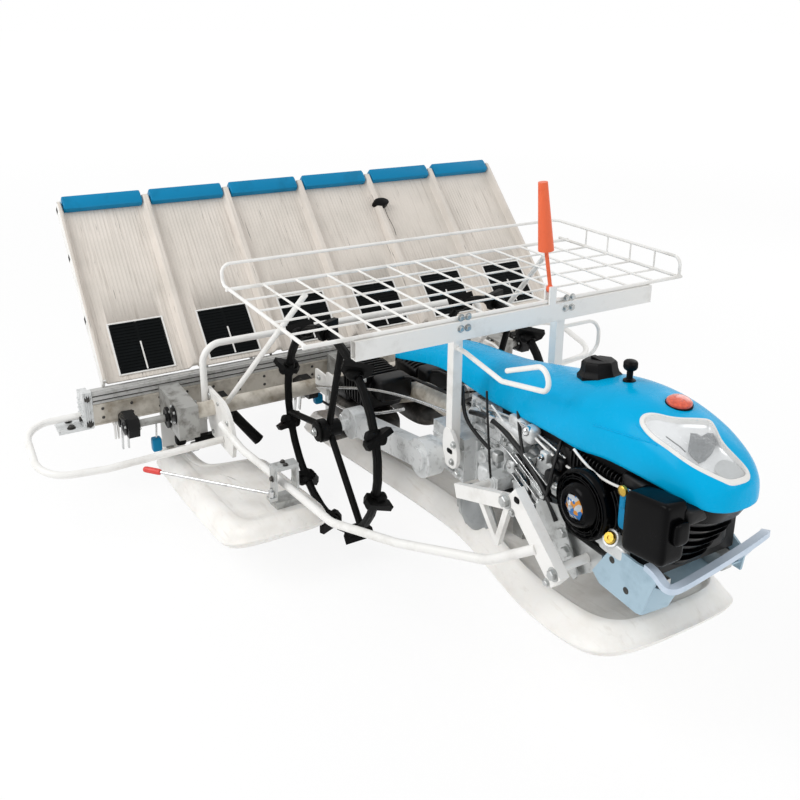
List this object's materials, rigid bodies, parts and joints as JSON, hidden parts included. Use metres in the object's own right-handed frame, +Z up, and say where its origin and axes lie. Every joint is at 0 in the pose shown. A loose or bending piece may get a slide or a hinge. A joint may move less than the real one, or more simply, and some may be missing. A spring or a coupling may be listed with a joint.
{
  "type": "walk-behind rice transplanter",
  "caption": "Walk-behind rice transplanter with seedling table, spare seedling rack, floats, cage wheels and a front engine under a hood.",
  "frame": {"origin": "on the floor under the middle of the machine's length and width", "axes": "+X forward, +Y to the machine's left, +Z up"},
  "size_m": [2.4922, 2.102, 1.1014],
  "materials": {
    "cast_alloy": "raw sand-cast alloy, dull",
    "frame_grey": "worn grey-beige enamel",
    "engine_cast": "die-cast alloy painted black",
    "case_iron": "grey cast iron, worn paint",
    "wheel_black": "steel rim and spokes under black rubber",
    "engine_black": "satin black enamel",
    "cover_black": "glossy black moulded plastic",
    "hood_blue": "glossy sky-blue moulded plastic",
    "cap_blue": "blue moulded plastic",
    "lamp_clear": "clear lamp lens over a bright reflector",
    "matt_black": "matt black plastic",
    "reflector_orange": "orange reflector plastic",
    "bumper_grey": "light blue-grey enamel",
    "white_tube": "white powder coat on steel tube",
    "galvanised": "zinc plated steel",
    "float_white": "blow-moulded off-white polyethylene",
    "table_beige": "ribbed warm-grey moulded plastic",
    "belt_black": "black ribbed feed belt",
    "rail_alloy": "extruded alloy, dulled",
    "pole_orange": "orange plastic sleeve on a steel rod",
    "grip_black": "soft black grip",
    "gate_red": "red-orange enamel sheet",
    "marker_red": "red tip on a steel rod"
  },
  "bodies": {
    "machine": {"bumper": "bumper_grey", "cables": "grip_black", "console": "matt_black", "cross_tube": "frame_grey", "engine_bed": "galvanised", "engine_block": "engine_cast", "float_centre": "float_white", "float_hinges": "galvanised", "float_sides": "float_white", "float_stays": "galvanised", "frame_spine": "frame_grey", "front_grille": "matt_black", "fuel_cap": "matt_black", "gate_plate": "gate_red", "grips": "grip_black", "guard_brackets": "white_tube", "guard_loops": "white_tube", "handlebars": "white_tube", "headlamp": "lamp_clear", "hood": "hood_blue", "muffler_cover": "cover_black", "oil_filler": "matt_black", "planting_arms": "engine_black", "planting_beam": "frame_grey", "planting_cases": "case_iron", "rack_beam": "white_tube", "rack_hooks": "white_tube", "rack_posts": "white_tube", "rack_struts": "white_tube", "rail_ends": "rail_alloy", "recoil_starter": "cover_black", "reflector": "reflector_orange", "seedling_rack": "white_tube", "side_brackets": "white_tube", "side_guards": "white_tube", "table_hoop": "white_tube", "table_rail": "rail_alloy", "transmission": "cast_alloy", "upper_guide": "galvanised"},
    "marker_left": {"marker_left": "marker_red"},
    "marker_right": {"marker_right": "marker_red"},
    "pole": {"sighting_pole": "pole_orange"},
    "swing_left": {"swing_case_left": "cast_alloy"},
    "swing_right": {"swing_case_right": "cast_alloy"},
    "table": {"table_belts": "belt_black", "table_caps": "cap_blue", "table_panel": "table_beige"},
    "wheel_left": {"wheel_left": "wheel_black"},
    "wheel_right": {"wheel_right": "wheel_black"}
  },
  "joints": [
    {"name": "swing_right_lift", "type": "hinge", "parent": "machine", "child": "swing_right", "pos_m": [0.42, -0.2, 0.4], "axis": [0, 1, 0], "range_deg": [0, 13]},
    {"name": "swing_left_lift", "type": "hinge", "parent": "machine", "child": "swing_left", "pos_m": [0.42, 0.2, 0.4], "axis": [0, 1, 0], "range_deg": [0, 13]},
    {"name": "wheel_right_spin", "type": "hinge", "parent": "swing_right", "child": "wheel_right", "pos_m": [0.02, -0.288, 0.33], "axis": [0, 1, 0], "continuous": true},
    {"name": "wheel_left_spin", "type": "hinge", "parent": "swing_left", "child": "wheel_left", "pos_m": [0.02, 0.288, 0.33], "axis": [0, 1, 0], "continuous": true},
    {"name": "table_shift", "type": "slide", "parent": "machine", "child": "table", "axis": [0, 1, 0], "range_m": [-0.247, 0.033]},
    {"name": "pole_fold", "type": "hinge", "parent": "machine", "child": "pole", "pos_m": [0.502, 0.108, 0.826], "axis": [-1, 0, 0], "range_deg": [0, 90]},
    {"name": "marker_right_swing", "type": "hinge", "parent": "machine", "child": "marker_right", "pos_m": [0.12, -0.512, 0.229], "axis": [0, 0, 1], "range_deg": [0, 50]},
    {"name": "marker_left_swing", "type": "hinge", "parent": "machine", "child": "marker_left", "pos_m": [0.12, 0.512, 0.229], "axis": [0, 0, -1], "range_deg": [0, 50]}
  ]
}
